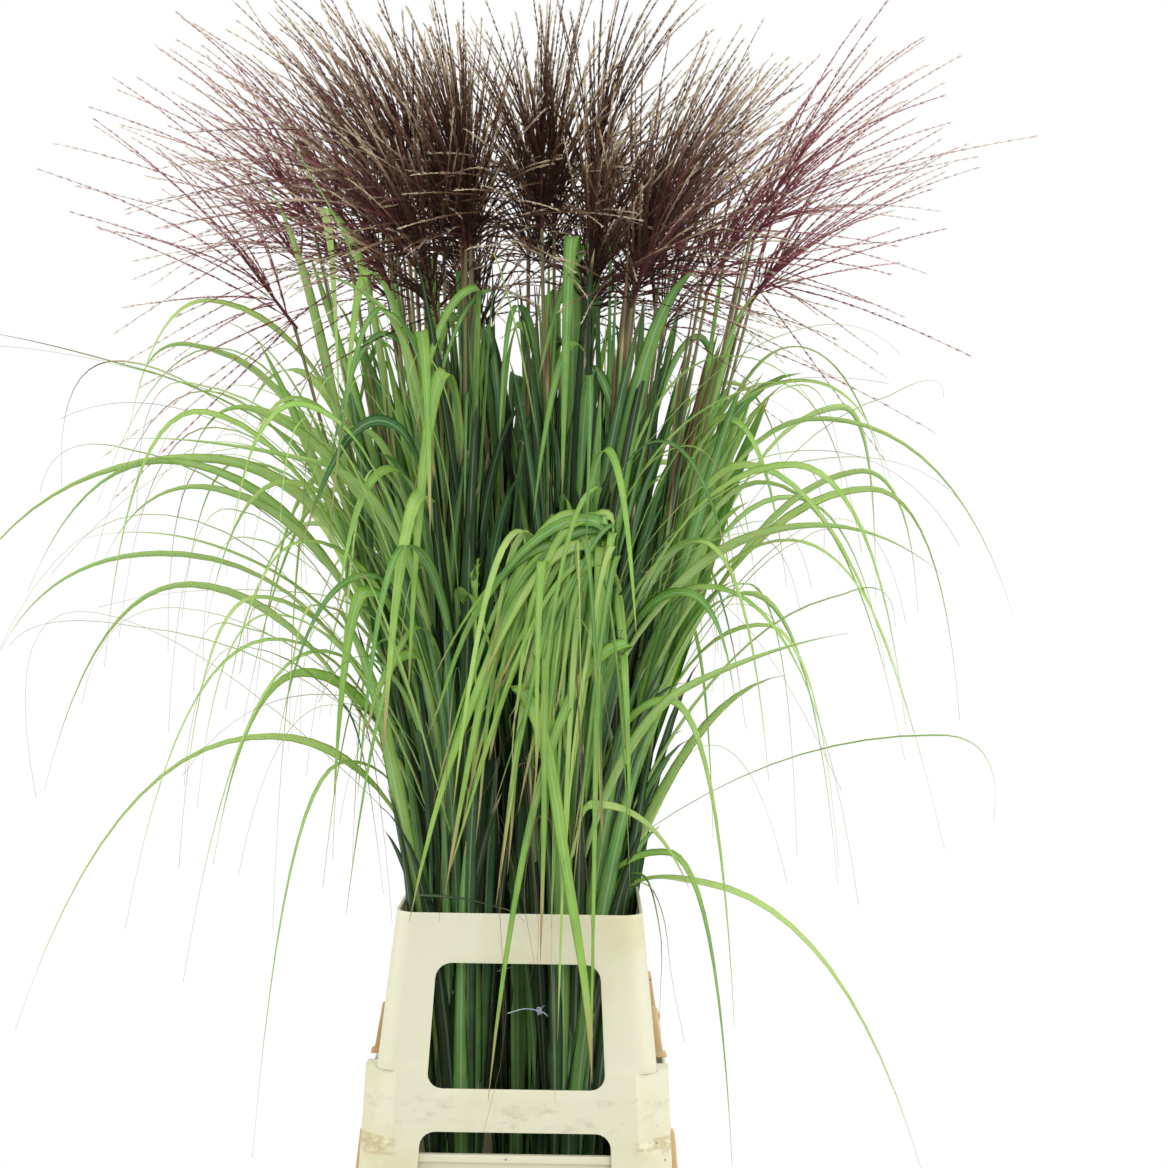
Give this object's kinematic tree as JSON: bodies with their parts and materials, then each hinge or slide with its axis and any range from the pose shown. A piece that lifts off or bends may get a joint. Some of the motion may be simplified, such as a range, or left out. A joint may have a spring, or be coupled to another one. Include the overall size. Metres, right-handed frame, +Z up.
{
  "type": "maiden grass bunches in a plastic flower bucket",
  "caption": "Cut maiden grass with arching leaves and brown plumes, tied in bunches and standing in water in a cream plastic bucket with a tall windowed collar",
  "frame": {"origin": "middle of the bucket's flat underside, where it rests on the floor", "axes": "+Z up along the stems, -Y towards the front short side with the smaller windows, +X to the right seen from the front"},
  "size_m": [1.122, 0.9788, 1.5175],
  "materials": {
    "cream_plastic": "moulded cream plastic, satin, yellowed and a little dirty",
    "water": "still water",
    "leaf_green": "ribbed green blades with a pale midrib, satin",
    "tie_thread": "pale blue-white twine",
    "plume_brown": "dry brown and burgundy racemes with cream tips, matte"
  },
  "bodies": {
    "root": {"bucket": "cream_plastic", "collar": "cream_plastic", "water": "water", "leafy_bunch_front_left": "leaf_green", "leafy_bunch_front_right": "leaf_green", "leafy_bunch_right": "leaf_green", "leafy_bunch_back": "leaf_green", "leafy_bunch_left": "leaf_green", "bunch_tie_front_left": "tie_thread", "bunch_tie_front_right": "tie_thread", "bunch_tie_right": "tie_thread", "bunch_tie_back": "tie_thread", "bunch_tie_left": "tie_thread", "plume_01": "plume_brown", "plume_02": "plume_brown", "plume_03": "plume_brown", "plume_04": "plume_brown", "plume_05": "plume_brown", "plume_06": "plume_brown", "plume_07": "plume_brown", "plume_08": "plume_brown", "plume_09": "plume_brown", "plume_10": "plume_brown", "plume_11": "plume_brown", "plume_12": "plume_brown", "plume_13": "plume_brown", "plume_14": "plume_brown", "plume_15": "plume_brown", "plume_16": "plume_brown", "plume_17": "plume_brown", "plume_18": "plume_brown", "plume_19": "plume_brown", "plume_20": "plume_brown", "plume_21": "plume_brown", "plume_22": "plume_brown", "plume_23": "plume_brown", "plume_24": "plume_brown", "plume_25": "plume_brown", "plume_26": "plume_brown", "plume_27": "plume_brown", "plume_28": "plume_brown", "plume_29": "plume_brown", "plume_30": "plume_brown", "plume_31": "plume_brown", "plume_32": "plume_brown", "plume_33": "plume_brown", "plume_34": "plume_brown", "plume_35": "plume_brown", "plume_36": "plume_brown", "plume_37": "plume_brown", "plume_38": "plume_brown", "plume_39": "plume_brown", "plume_40": "plume_brown", "plume_41": "plume_brown", "plume_42": "plume_brown", "plume_43": "plume_brown", "plume_44": "plume_brown", "plume_45": "plume_brown"}
  },
  "joints": []
}
